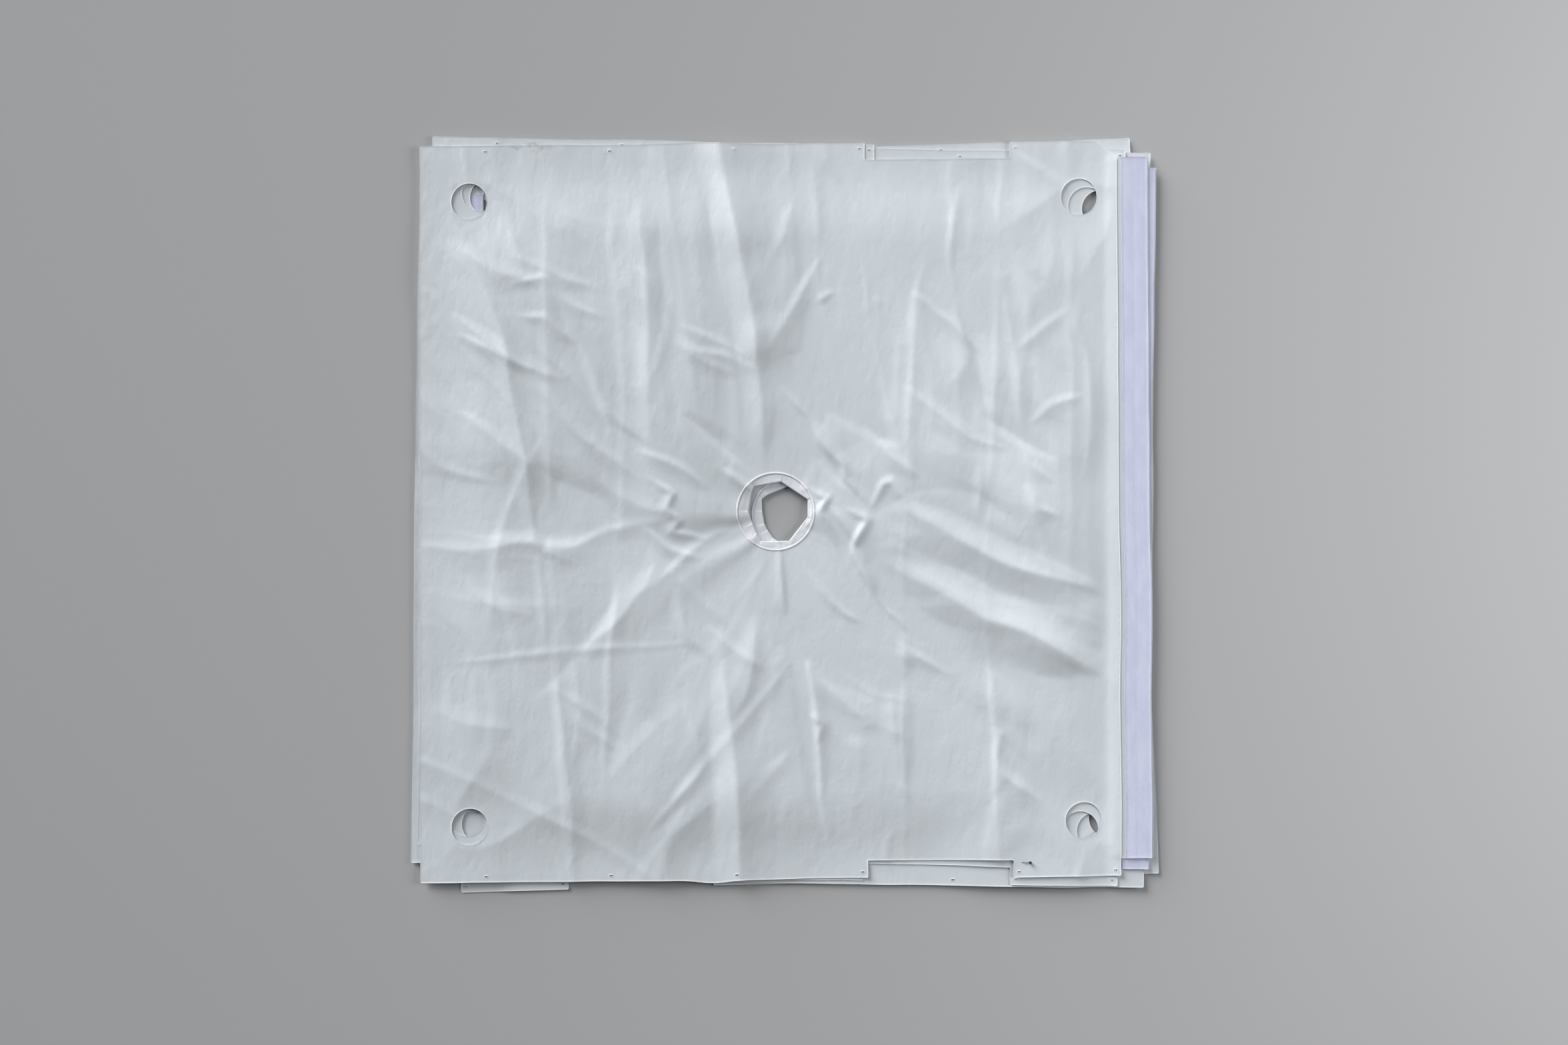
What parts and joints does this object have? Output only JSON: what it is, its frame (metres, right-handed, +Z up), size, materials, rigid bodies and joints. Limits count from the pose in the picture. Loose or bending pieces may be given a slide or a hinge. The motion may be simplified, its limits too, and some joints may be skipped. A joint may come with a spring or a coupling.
{
  "type": "filter press cloth set",
  "caption": "Flat stack of white double filter-press cloths, each with a sewn neck at the feed hole, corner ports, tie tabs and hook-and-loop side flaps.",
  "frame": {"origin": "centre of the stack's bounding box, on the surface that it lies on", "axes": "+X across the cloths towards the upper cloth's side flap, +Y up the cloths towards the corner that is turned under, +Z up out of the stack"},
  "size_m": [1.2424, 1.2528, 0.018],
  "materials": {
    "filter_cloth": "satin",
    "seam_cloth": "satin",
    "loop_tape": "matte",
    "pin_steel": "polished",
    "pin_bead": "gloss"
  },
  "bodies": {
    "lower_back": {"lower_back_panel": "filter_cloth", "lower_back_side_flap": "filter_cloth", "lower_back_loop_tape": "loop_tape", "lower_back_seam_ring": "seam_cloth", "lower_neck": "seam_cloth"},
    "lower_front": {"lower_front_panel": "filter_cloth", "lower_front_side_flap": "filter_cloth", "lower_front_loop_tape": "loop_tape", "lower_front_seam_ring": "seam_cloth"},
    "upper_back": {"upper_back_panel": "filter_cloth", "upper_back_side_flap": "filter_cloth", "upper_back_loop_tape": "loop_tape", "upper_back_seam_ring": "seam_cloth", "upper_neck": "seam_cloth"},
    "upper_front": {"upper_front_panel": "filter_cloth", "upper_front_seam_ring": "seam_cloth"},
    "side_flap": {"upper_front_side_flap": "filter_cloth", "upper_front_loop_tape": "loop_tape"},
    "pin": {"pin_shaft": "pin_steel", "pin_head": "pin_bead"}
  },
  "joints": [
    {"name": "lower_cloth_open", "type": "slide", "parent": "lower_back", "child": "lower_front", "axis": [0, 0, 1], "range_m": [0, 0.03], "deforming": ["lower_neck"]},
    {"name": "upper_cloth_lift", "type": "slide", "parent": "lower_front", "child": "upper_back", "axis": [0, 0, 1], "range_m": [0, 0.25]},
    {"name": "upper_cloth_open", "type": "slide", "parent": "upper_back", "child": "upper_front", "axis": [0, 0, 1], "range_m": [0, 0.033], "deforming": ["upper_neck"]},
    {"name": "side_flap_fold", "type": "hinge", "parent": "upper_front", "child": "side_flap", "pos_m": [0.55454, 0.01148, 0.013], "axis": [0.0061, -1, 0], "range_deg": [0, 150]},
    {"name": "pin_pull", "type": "slide", "parent": "upper_front", "child": "pin", "axis": [0.9763, 0.006, 0.2164], "range_m": [0, 0.028]}
  ]
}
